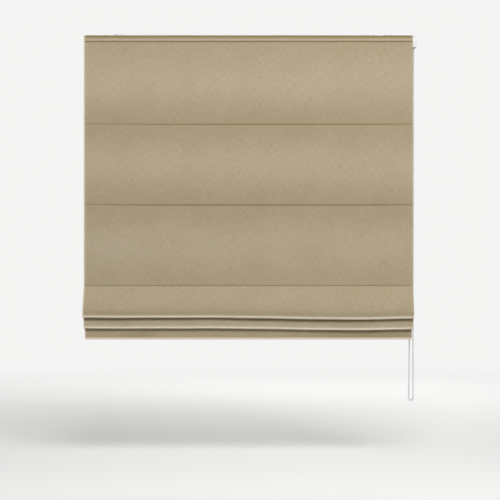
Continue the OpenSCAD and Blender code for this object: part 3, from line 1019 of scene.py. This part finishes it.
def add_sheet(
    bm: BMesh,
    columns: Columns,
    rows_at: Callable[[float], Rows],
    faces_back: bool,
    settle: Callable[[np.ndarray, float], np.ndarray] | None = None,
) -> None:
    """Adds a one-sided sheet that follows a run of cloth.

    Args:
        bm: the mesh from new_cloth that it joins.
        columns: its places across the width.
        rows_at: gives the run of the cloth at a place across the width.
        faces_back: True where its outer surface looks to the back.
        settle: moves a column's points, given as X, Y and Z, that run at a place across the width.
    """
    runs = [rows_at(x) for x in columns.x]
    count = len(columns.x)
    length = len(runs[0].points)
    points = np.zeros((count, length, 3))
    for c, (x, off, rows) in enumerate(zip(columns.x, columns.off, runs)):
        points[c, :, 0] = x
        points[c, :, 1:] = rows.points + off * rows.back_side()
        if settle is not None:
            points[c] = settle(points[c], x)
    along = runs[count // 2].along()
    across = columns.across()
    uv = bm.loops.layers.uv["cloth"]
    seam = bm.verts.layers.float["seam"]
    edge = bm.verts.layers.float["edge"]
    grid = bmesh.ops.create_grid(bm, x_segments=count - 1, y_segments=length - 1, size=0.5)
    spots = {}
    for vert in grid["verts"]:
        c = round((vert.co.x + 0.5) * (count - 1))
        r = round((vert.co.y + 0.5) * (length - 1))
        spots[vert] = (c, r if faces_back else length - 1 - r)
    for vert, (c, r) in spots.items():
        vert.co = points[c, r]
        vert[seam] = runs[c].seam[r]
        vert[edge] = max(columns.edge[c], runs[c].edge[r])
    for face in {face for vert in grid["verts"] for face in vert.link_faces}:
        for loop in face.loops:
            c, r = spots[loop.vert]
            loop[uv].uv = (across[c], along[r])


@dataclass(frozen=True)
class ClothLayer:
    """A layer of the blind's cloth, which hangs in three pieces: header band, flat panels and folds.

    Attributes:
        label: first word of the pieces' names.
        flat_node: the node that the panels take the place of.
        folded_node: the node that the folds take the place of.
        faces_back: True where the layer's outer surface looks to the back.
    """

    places: BlindPlaces
    drape: Drape
    label: str
    finish: WovenCloth
    slot: Slot
    flat_node: str
    folded_node: str
    faces_back: bool
    thickness: float

    def cut_w(self) -> float:
        """Returns the width of the flat cloth."""
        raise NotImplementedError

    def columns(self, part: Part) -> Columns:
        """Places a piece's columns across the width.

        Args:
            part: the piece.

        Returns:
            The columns.
        """
        raise NotImplementedError

    def settle(self, part: Part, points: np.ndarray, x: float) -> np.ndarray:
        """Gives a column's points as they are, for a layer that doesn't move them off the plain run of the cloth.

        Args:
            part: the piece that it belongs to; not used here.
            points: the column's X, Y and Z, from the top down.
            x: its place across the width; not used here.

        Returns:
            The moved points.
        """
        return points

    def build(self) -> list[Object]:
        """Makes the three pieces and sets how each moves.

        Returns:
            The header band, the panels and the folds.
        """
        plans = (
            (Part.HEADER, self.drape.header_rows, "hung", ["loop_strip"]),
            (Part.PANELS, self.drape.panel_rows, "hung", ["rod_1", "rod_2"]),
            (Part.FOLDS, self.drape.fold_rows, "folded", ["rod_3", "rod_4", "rod_5"]),
        )
        pieces = []
        for part, rows_at, held, rests_on in plans:
            bm = new_cloth()
            add_sheet(bm, self.columns(part), rows_at, self.faces_back, partial(self.settle, part))
            piece = place_piece(bm, f"{self.label}_{part.value}", self.finish, self.slot, self.thickness)
            flat = (self.cut_w(), float(rows_at(0.0).along()[-1]))
            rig.sheet(piece, flat=flat, held=held, rests_on=rests_on)
            pieces.append(piece)
        header, panels, folds = pieces
        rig.ride(header, Body.RAIL.value)
        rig.replaces(panels, self.flat_node)
        self.places.shorten(panels, self.places.header, self.places.rod_z[2])
        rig.replaces(folds, self.folded_node)
        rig.ride(folds, Body.STACK.value)
        return pieces


@dataclass(frozen=True)
class FaceCloth(ClothLayer):
    """The face cloth, with its sides turned to the back as hems."""

    label: str = "cloth"
    finish: WovenCloth = FACE_CLOTH
    slot: Slot = Slot.FACE
    flat_node: str = "face_fabric"
    folded_node: str = "folded_fabric"
    faces_back: bool = False
    thickness: float = 0.45 * MM
    front: float = -0.8 * MM
    back: float = 0.2 * MM
    hem_w: float = 24 * MM
    curl: float = 1.6 * MM
    curl_w: float = 5 * MM
    hem_taper: float = 5 * MM
    # Columns across the front, and how far the closer ones before and behind a side lie from it
    front_columns: int = 52
    front_margin: float = 12 * MM
    before_mm: tuple[float, ...] = (6.0, 4.5, 3.2, 2.2, 1.3, 0.6, 0.0)
    behind_mm: tuple[float, ...] = (0.0, 0.8, 2.0, 4.0, 8.0)
    # Painted highlight along the sides, stronger at the left
    left_highlight: float = 0.8
    left_fold_highlight: float = 0.45
    right_highlight: float = 0.1
    highlight_w: float = 3.2 * MM

    def cut_w(self) -> float:
        """Returns the width of the flat cloth, with its hems."""
        return 2 * (self.places.half_w + self.hem_w)

    def columns(self, part: Part) -> Columns:
        """Places the columns across the front, round each side and over its hem.

        Args:
            part: the piece.

        Returns:
            The columns.
        """
        r = (self.back - self.front) / 2
        middle = (self.front + self.back) / 2
        flat = self.places.half_w - r
        turn = np.linspace(-math.pi / 2, math.pi / 2, 5)[1:-1]
        behind = np.array([*self.behind_mm, self.hem_w / MM]) * MM
        before = flat - np.array(self.before_mm) * MM
        front = np.concatenate([np.linspace(0, flat - self.front_margin, self.front_columns), before])
        x = np.concatenate([front, flat + r * np.cos(turn), flat - behind])
        off = np.concatenate(
            [np.full(len(front), self.front), middle + r * np.sin(turn), np.full(len(behind), self.back)]
        )
        both = Columns.mirrored(x, off)
        # Painted highlight that fades in from each side
        left = self.left_fold_highlight if part is Part.FOLDS else self.left_highlight
        tone = np.where(both.x < 0, left, self.right_highlight)
        return Columns(both.x, both.off, tone * bell(self.places.half_w - np.abs(both.x), self.highlight_w))

    def settle(self, part: Part, points: np.ndarray, x: float) -> np.ndarray:
        """Curls a side back a little, or draws the layers of the folds in, the more the lower they end.

        Args:
            part: the piece that the column belongs to.
            points: the column's X, Y and Z, from the top down.
            x: its place across the width.

        Returns:
            The moved points.
        """
        if part is Part.FOLDS:
            run = np.linspace(0, 1, len(points))
            points[:, 0] -= np.sign(x) * self.hem_taper * (x / self.places.half_w) ** 2 * run**1.5
        else:
            share = max(0.0, (abs(x) - self.places.half_w + self.curl_w) / self.curl_w)
            points[:, 1] += self.curl * share**2
        return points


@dataclass(frozen=True)
class Lining(ClothLayer):
    """The lining, which is narrower than the face cloth and overlaps its side hems."""

    label: str = "lining"
    finish: WovenCloth = LINING_CLOTH
    slot: Slot = Slot.LINING
    flat_node: str = "lining"
    folded_node: str = "folded_lining"
    faces_back: bool = True
    thickness: float = 0.28 * MM
    back: float = 0.35 * MM
    lap_back: float = 0.52 * MM
    inset: float = 17 * MM
    lap_w: float = 8 * MM
    middle_columns: int = 50
    # Columns near a side, in shares of the lap
    lap_columns: tuple[float, ...] = (1.2, 0.9, 0.5, 0.0)

    def cut_w(self) -> float:
        """Returns the width of the flat lining."""
        return 2 * (self.places.half_w - self.inset)

    def columns(self, part: Part) -> Columns:
        """Places the columns, which rise over the hem at each side.

        Args:
            part: the piece; not used, as all three are alike.

        Returns:
            The columns.
        """
        side = self.places.half_w - self.inset
        middle = np.linspace(0, side - 2 * self.lap_w, self.middle_columns)
        x = np.concatenate([middle, side - np.array(self.lap_columns) * self.lap_w])
        return Columns.mirrored(x, np.where(x > side - self.lap_w, self.lap_back, self.back))


@dataclass(frozen=True)
class RodPockets:
    """Sewn sleeves on the back of the lining that hold the rods, open where a ring clips on."""

    places: BlindPlaces
    radius: float = 2.6 * MM
    thickness: float = 0.4 * MM
    cap_l: float = 10 * MM
    opening: float = 12 * MM
    # The two tabs by which a sleeve is sewn on, and the angle at which its turn round the rod starts and ends
    tab_half: float = 0.5 * MM
    tab_l: float = 0.5 * MM
    tab_gap: float = 0.1 * MM
    tab_tone: float = 0.7
    wrap: float = math.radians(156)
    wrap_points: int = 19
    # Small puckers: height, the two lengths over 2 pi, and the phase for each metre of height
    pucker: float = 0.12 * MM
    pucker_l: tuple[float, float] = (4.7 * MM, 3.1 * MM)
    pucker_shift: float = 50.0
    column_step: float = 7 * MM

    def section(self, level: float, x: float) -> Rows:
        """A sleeve's section: a tab, a turn round the rod and the tab again.

        Args:
            level: height of the rod.
            x: place along the rod.

        Returns:
            The section's rows.
        """
        p = self.places
        root = p.seam_y + LINING_T + self.tab_gap
        first, second = self.pucker_l
        swell = self.pucker * math.sin(x / first) * math.sin(x / second + level * self.pucker_shift)
        turn = np.linspace(self.wrap, -self.wrap, self.wrap_points)
        ring = np.stack([np.cos(turn), np.sin(turn)], 1) * (self.radius + swell) + (p.rod_y, level)
        tab = [(root, level + self.tab_half), (root + self.tab_l, level + self.tab_half)]
        points = np.concatenate([tab, ring, [(y, 2 * level - z) for y, z in reversed(tab)]])
        seam = np.zeros(len(points))
        seam[:2] = seam[-2:] = self.tab_tone
        return Rows(points, seam, np.zeros(len(points)))

    def build(self) -> list[Object]:
        """Makes one piece for each rod.

        Returns:
            The sleeves, from the top down.
        """
        p = self.places
        stops = [-p.rod_half + self.cap_l]
        for x in p.cord_x:
            stops += [x - self.opening / 2, x + self.opening / 2]
        stops.append(p.rod_half - self.cap_l)
        bodies = (Body.FIRST_ROD, Body.SECOND_ROD, Body.STACK, Body.STACK, Body.STACK)
        pieces = []
        for i, (level, body) in enumerate(zip(p.rod_z, bodies), start=1):
            bm = new_cloth()
            rows_at = partial(self.section, level)
            cloth_l = 0.0
            for start, end in zip(stops[::2], stops[1::2]):
                x = np.linspace(start, end, max(4, round((end - start) / self.column_step)))
                add_sheet(bm, Columns(x, np.zeros_like(x), np.zeros_like(x)), rows_at, True)
                cloth_l += end - start
            piece = place_piece(bm, f"pocket_{i}", LINING_CLOTH, Slot.LINING, self.thickness)
            flat = (cloth_l, float(rows_at(0.0).along()[-1]))
            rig.sheet(piece, flat=flat, held="stretched", rests_on=[f"rod_{i}"])
            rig.replaces(piece, f"rod_pocket_{i}")
            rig.ride(piece, body.value)
            pieces.append(piece)
        return pieces


def repeat(bm: BMesh, verts: list[BMVert], step: Vector, count: int) -> None:
    """Copies a shape along a straight line.

    Args:
        bm: the mesh that holds it.
        verts: the first shape's points.
        step: the way from each copy to the next.
        count: how many there are, the first one included.
    """
    # The keys of a dict keep their order, so that each run gives the same mesh
    edges = dict.fromkeys(edge for vert in verts for edge in vert.link_edges)
    faces = dict.fromkeys(face for vert in verts for face in vert.link_faces)
    bmesh.ops.spin(
        bm,
        geom=[*verts, *edges, *faces],
        cent=(0, 0, 0),
        axis=(0, 0, 1),
        dvec=step,
        angle=0.0,
        steps=count - 1,
        use_duplicate=True,
    )


@dataclass(frozen=True)
class Stitching:
    """Rows of stitches along the seams and hems.

    Attributes:
        face_front: how far back the front of the face cloth lies at a seam.
        hem_back: how far back the hem's turned-up layer lies.
        side: how far a row ends from the cloth's side.
        hem_row: height of the hem's row over its lower edge.
        sink: how far the third rod's row lies under its seam.
    """

    places: BlindPlaces
    drape: Drape
    face_front: float
    hem_back: float
    pitch: float = 3.6 * MM
    stitch_l: float = 2.9 * MM
    radius: float = 0.3 * MM
    side: float = 3 * MM
    hem_row: float = 27 * MM
    sink: float = 0.45 * MM

    def add_row(self, bm: BMesh, y: float, z: float) -> None:
        """Adds a straight row of stitches.

        Args:
            bm: the mesh that it joins.
            y: how far back the stitches lie.
            z: their height.
        """
        count = int(2 * (self.places.half_w - self.side) / self.pitch)
        start = Matrix.Translation((-(count - 1) / 2 * self.pitch, y, z))
        size = Matrix.Diagonal((self.stitch_l / 2, self.radius, self.radius, 1.0))
        place = start @ size @ Matrix.Rotation(math.pi / 2, 4, "Y")
        stitch = bmesh.ops.create_uvsphere(bm, u_segments=6, v_segments=4, radius=1.0, matrix=place)
        repeat(bm, stitch["verts"], Vector((self.pitch, 0, 0)), count)

    def build(self) -> list[Object]:
        """Makes the rows that the face shows and the row of the turned-up hem.

        Returns:
            The rows, as pieces.
        """
        p = self.places
        plans = (
            ("stitches_header", self.face_front, [p.header]),
            ("stitches_panels", self.face_front, p.rod_z[:2]),
            ("stitches_folds", self.face_front, [p.rod_z[2] - self.sink]),
            ("stitches_hem", self.hem_back, [p.hem_z + self.hem_row]),
        )
        pieces = []
        for name, y, levels in plans:
            bm = bmesh.new()
            for z in levels:
                self.add_row(bm, y, z)
            if name == "stitches_panels":
                for vert in bm.verts:
                    vert.co.z += self.drape.lift(vert.co.x)
            pieces.append(place_piece(bm, name, FACE_THREAD, Slot.FACE))
        header, panels, folds, hem = pieces
        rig.ride(header, Body.RAIL.value)
        p.shorten(panels, p.header, p.rod_z[2])
        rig.ride(folds, Body.STACK.value)
        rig.ride(hem, Body.STACK.value)
        return pieces


@dataclass(frozen=True)
class LiftCords:
    """Three braided cords that run from their spools through the rings to their adjusters.

    Attributes:
        lay_l: length of one turn of the strands.
        lay_steps: rings of points in such a turn.
        groove: radius between two strands, as a share of the cord's.
    """

    places: BlindPlaces
    diameter: float = 1.5 * MM
    lay_l: float = 9 * MM
    lay_steps: int = 10
    strands: int = 4
    groove: float = 0.82
    path_steps: int = 20

    def rope(self) -> BMesh:
        """Makes one cord at the middle of the blind: a lobed ring, drawn up and twisted.

        Returns:
            Its closed mesh.
        """
        p = self.places
        length = p.cord_top - p.cord_end
        steps = round(length / self.lay_l * self.lay_steps)
        axis = Vector((0.0, p.cord_y, p.cord_end))
        bm = bmesh.new()
        ring = bmesh.ops.create_circle(
            bm,
            cap_ends=False,
            segments=3 * self.strands,
            radius=self.diameter / 2,
            matrix=Matrix.Translation(axis),
        )["verts"]
        for k, vert in enumerate(ring):
            lobe = 1.0 if k % 3 == 1 else self.groove
            vert.co = axis + (vert.co - axis) * lobe
        bmesh.ops.spin(
            bm,
            geom=[*ring, *dict.fromkeys(edge for vert in ring for edge in vert.link_edges)],
            cent=axis,
            axis=(0, 0, 1),
            dvec=(0, 0, length / steps),
            angle=2 * math.pi * length / self.lay_l,
            steps=steps,
        )
        bmesh.ops.holes_fill(bm, edges=[edge for edge in bm.edges if edge.is_boundary], sides=0)
        bmesh.ops.recalc_face_normals(bm, faces=bm.faces)
        return bm

    def build(self) -> list[Object]:
        """Makes the cords, which shorten as they wind up.

        Returns:
            The three cords.
        """
        p = self.places
        length = p.cord_top - p.cord_end
        rope = self.rope()
        pieces = []
        for i, x in enumerate(p.cord_x, start=1):
            bm = rope.copy()
            bmesh.ops.translate(bm, verts=bm.verts, vec=(x, 0, 0))
            piece = place_piece(bm, f"cord_{i}", BRAIDED_CORD, Slot.CORD)
            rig.replaces(piece, f"lift_cord_{i}")
            p.shorten(piece, p.cord_top, p.cord_end)
            steps = self.path_steps
            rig.cord(
                piece,
                exit=(x, p.cord_y, p.cord_top),
                length=length,
                diameter=self.diameter,
                far_end="object",
                stiffness="limp",
                lay="taut",
                path=[(x, p.cord_y, p.cord_top - length * k / steps) for k in range(steps + 1)],
            )
            pieces.append(piece)
        rope.free()
        return pieces


@dataclass(frozen=True)
class BeadChain:
    """An endless loop of beads on a thread that hangs from the chain wheel."""

    pitch: float = 6 * MM
    bead_r: float = 2.25 * MM
    thread_r: float = 0.7 * MM
    # The loop's corners: down the front strand, round the half-round end and up the back strand
    route_mm: tuple[tuple[float, float, float], ...] = (
        (458.5, -11.59, -31.0),
        (457.5, -2.15, -1009.0),
        (454.7, -1.075, -1014.196),
        (449.1, 1.075, -1014.196),
        (446.3, 2.15, -1009.0),
        (458.5, 11.59, -31.0),
    )

    def add_bead(self, bm: BMesh, place: Matrix) -> list[BMVert]:
        """Adds a bead.

        Args:
            bm: the mesh that it joins.
            place: its place, turned along the chain.

        Returns:
            Its points.
        """
        bead = bmesh.ops.create_uvsphere(bm, u_segments=10, v_segments=7, radius=self.bead_r, matrix=place)
        return bead["verts"]

    def build(self) -> list[Object]:
        """Makes the chain, with a bead at each corner.

        Returns:
            The whole loop as one piece.
        """
        bm = bmesh.new()
        corners = [Vector(point) * MM for point in self.route_mm]
        path = []
        for start, end in zip(corners, corners[1:]):
            count = max(1, round((end - start).length / self.pitch))
            step = (end - start) / count
            turn = step.to_track_quat("Z", "Y").to_matrix().to_4x4()
            link = self.add_bead(bm, Matrix.Translation(start) @ turn)
            link += bmesh.ops.create_cone(
                bm,
                cap_ends=True,
                segments=6,
                radius1=self.thread_r,
                radius2=self.thread_r,
                depth=step.length,
                matrix=Matrix.Translation(start + step / 2) @ turn,
            )["verts"]
            repeat(bm, link, step, count)
            path += [start.lerp(end, k / count) for k in range(count)]
        path.append(corners[-1])
        self.add_bead(bm, Matrix.Translation(corners[-1]) @ turn)
        piece = place_piece(bm, "bead_loop", BEAD_PLASTIC, Slot.CHAIN)
        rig.replaces(piece, "bead_chain")
        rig.ride(piece, Body.RAIL.value)
        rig.cord(
            piece,
            exit=path[0],
            length=sum((after - before).length for before, after in zip(path, path[1:])),
            diameter=2 * self.bead_r,
            far_end="object",
            stiffness="limp",
            lay="hanging",
            path=path,
        )
        return [piece]


@dataclass(frozen=True)
class Fittings:
    """The rail, brackets, drive, rods and other fittings whose shapes the frame already holds."""

    frame: dict[str, Any]

    def build(self) -> list[Object]:
        """Gives every node the finish of its material slot.

        Returns:
            The nodes.
        """
        nodes = []
        for part in self.frame["record"]["subparts"]:
            node = self.frame["nodes"][part["node"]]
            node.data.materials.clear()
            node.data.materials.append(SLOT_FINISHES[Slot(part["material_slot"])].material())
            nodes.append(node)
        return nodes


@dataclass(frozen=True)
class Lamp:
    """A soft lamp: where it stands, its width and height, and its power in watts."""

    name: str
    place: tuple[float, float, float]
    size: tuple[float, float]
    power: float

    def build(self, aim: Vector) -> None:
        """Makes the lamp.

        Args:
            aim: the point that it looks at.
        """
        data = bpy.data.lights.new(self.name, "AREA")
        data.shape = "RECTANGLE"
        data.size, data.size_y = self.size
        data.energy = self.power
        lamp = add_object(self.name, data)
        lamp.location = self.place
        lamp.rotation_euler = (aim - Vector(self.place)).to_track_quat("-Z", "Y").to_euler()


@dataclass(frozen=True)
class Studio:
    """A pale floor, soft light and a camera that looks level at the front of the blind.

    Attributes:
        view_w: width of the view at the cloth.
        floor_fade: how far from the blind the floor starts and ends to fade into the background.
        bounce: colour of the light that the floor sends back.
        ambient: strength of the even light from all sides.
    """

    view_w: float = 1.3825
    centre_x: float = 4.7 * MM
    centre_z: float = -597.2 * MM
    cloth_y: float = -24 * MM
    lens_mm: float = 105.0
    sensor_mm: float = 36.0
    floor_z: float = -1.19
    floor_half: float = 30.0
    floor_fade: tuple[float, float] = (0.8, 3.5)
    floor_roughness: float = 0.9
    pale: str = "#F4F4F3"
    bounce: str = "#A0A09F"
    ambient: float = 0.26
    lamps: tuple[Lamp, ...] = (
        Lamp("front lamp", (0.6, -2.9, 1.6), (1.8, 1.1), 91.0),
        Lamp("right lamp", (2.7, -1.7, 0.6), (1.8, 1.6), 14.0),
        Lamp("left lamp", (-2.7, -1.4, 0.6), (1.8, 1.6), 16.0),
        Lamp("back lamp", (0.4, 2.8, 0.4), (2.4, 1.6), 40.0),
    )

    def camera(self) -> None:
        """Makes the camera, as far away as its lens needs to take in the view's width."""
        data = bpy.data.cameras.new("camera")
        data.lens = self.lens_mm
        data.sensor_width = self.sensor_mm
        camera = add_object("camera", data)
        distance = self.view_w * self.lens_mm / self.sensor_mm
        camera.location = (self.centre_x, self.cloth_y - distance, self.centre_z)
        camera.rotation_euler = (math.pi / 2, 0, 0)
        bpy.context.scene.camera = camera

    def floor(self) -> None:
        """Makes the floor, which fades into the background away from the blind."""
        bm = bmesh.new()
        place = Matrix.Translation((0, 0, self.floor_z))
        bmesh.ops.create_grid(bm, x_segments=1, y_segments=1, size=self.floor_half, matrix=place)
        mesh = bpy.data.meshes.new("floor")
        bm.to_mesh(mesh)
        bm.free()
        material = bpy.data.materials.new("matt pale floor")
        material.use_nodes = True
        mesh.materials.append(material)
        tree = material.node_tree
        shader = tree.nodes["Principled BSDF"]
        seen = self.seen_directly(tree)
        # It sends back less light than it shows, so that shade under the folds stays deep
        tones = {0: seen, 6: linear(self.bounce), 7: linear(self.pale)}
        tone = add_node(tree, "Mix", tones, data_type="RGBA")
        feed(shader, {"Base Color": tone.outputs[2], "Roughness": self.floor_roughness})
        spot = add_node(tree, "TexCoord").outputs["Object"]
        flat = add_node(tree, "VectorMath", {0: spot, 1: (1.0, 1.0, 0.0)}, operation="MULTIPLY")
        away = add_node(tree, "VectorMath", {0: flat.outputs[0]}, operation="LENGTH")
        near, far = self.floor_fade
        limits = {"Value": away.outputs["Value"], "From Min": near, "From Max": far}
        fade = add_node(tree, "MapRange", limits, interpolation_type="SMOOTHSTEP")
        share = add_node(tree, "Math", {0: fade.outputs[0], 1: seen}, operation="MULTIPLY")
        glow = add_node(tree, "Emission", {"Color": linear(self.pale), "Strength": 1.0})
        both = {0: share.outputs[0], 1: shader.outputs[0], 2: glow.outputs[0]}
        mix = add_node(tree, "MixShader", both)
        feed(tree.nodes["Material Output"], {"Surface": mix.outputs[0]})
        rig.stage(add_object("floor", mesh))

    def seen_directly(self, tree: NodeTree) -> NodeSocket:
        """Adds the share of rays that show the background itself: straight, mirrored or passed through.

        Args:
            tree: the nodes that it joins.

        Returns:
            A socket that is 1 for those rays and 0 for light.
        """
        path = add_node(tree, "LightPath")
        seen = path.outputs["Is Camera Ray"]
        for ray in ("Is Glossy Ray", "Is Transmission Ray"):
            either = add_node(tree, "Math", {0: seen, 1: path.outputs[ray]}, operation="MAXIMUM")
            seen = either.outputs[0]
        return seen

    def world(self) -> None:
        """Makes the even light from all sides and the pale background."""
        world = bpy.data.worlds.new("studio")
        world.use_nodes = True
        bpy.context.scene.world = world
        tree = world.node_tree
        light = tree.nodes["Background"]
        feed(light, {"Color": linear(self.pale), "Strength": self.ambient})
        backdrop = add_node(tree, "Background", {"Color": linear(self.pale), "Strength": 1.0})
        both = {0: self.seen_directly(tree), 1: light.outputs[0], 2: backdrop.outputs[0]}
        mix = add_node(tree, "MixShader", both)
        feed(tree.nodes["World Output"], {"Surface": mix.outputs[0]})

    def build(self) -> None:
        """Makes the whole studio."""
        bpy.context.scene.view_settings.view_transform = "Standard"
        self.camera()
        self.floor()
        self.world()
        for lamp in self.lamps:
            lamp.build(Vector((0, 0, self.centre_z)))


def main() -> None:
    """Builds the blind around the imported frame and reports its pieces."""
    logging.basicConfig(level=logging.INFO, format="%(message)s")
    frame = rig.load()
    cad_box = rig.bounds()
    Studio().build()
    places = BlindPlaces.from_frame(frame)
    drape = Drape(places)
    face = FaceCloth(places, drape)
    hem_back = places.bar_y + drape.hem_r - face.front
    makers = (
        BeadChain(),
        LiftCords(places),
        face,
        Lining(places, drape),
        RodPockets(places),
        Stitching(places, drape, places.seam_y + face.front, hem_back),
        Fittings(frame),
    )
    for maker in makers:
        for piece in maker.build():
            LOG.info("%s: %d faces", piece.name, len(piece.data.polygons))
    visual_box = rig.bounds()
    with open(SIZE_FILE, "w", encoding="utf-8") as file:
        json.dump({"cad": [list(c) for c in cad_box], "visual": [list(c) for c in visual_box]}, file)


if __name__ == "__main__":
    main()
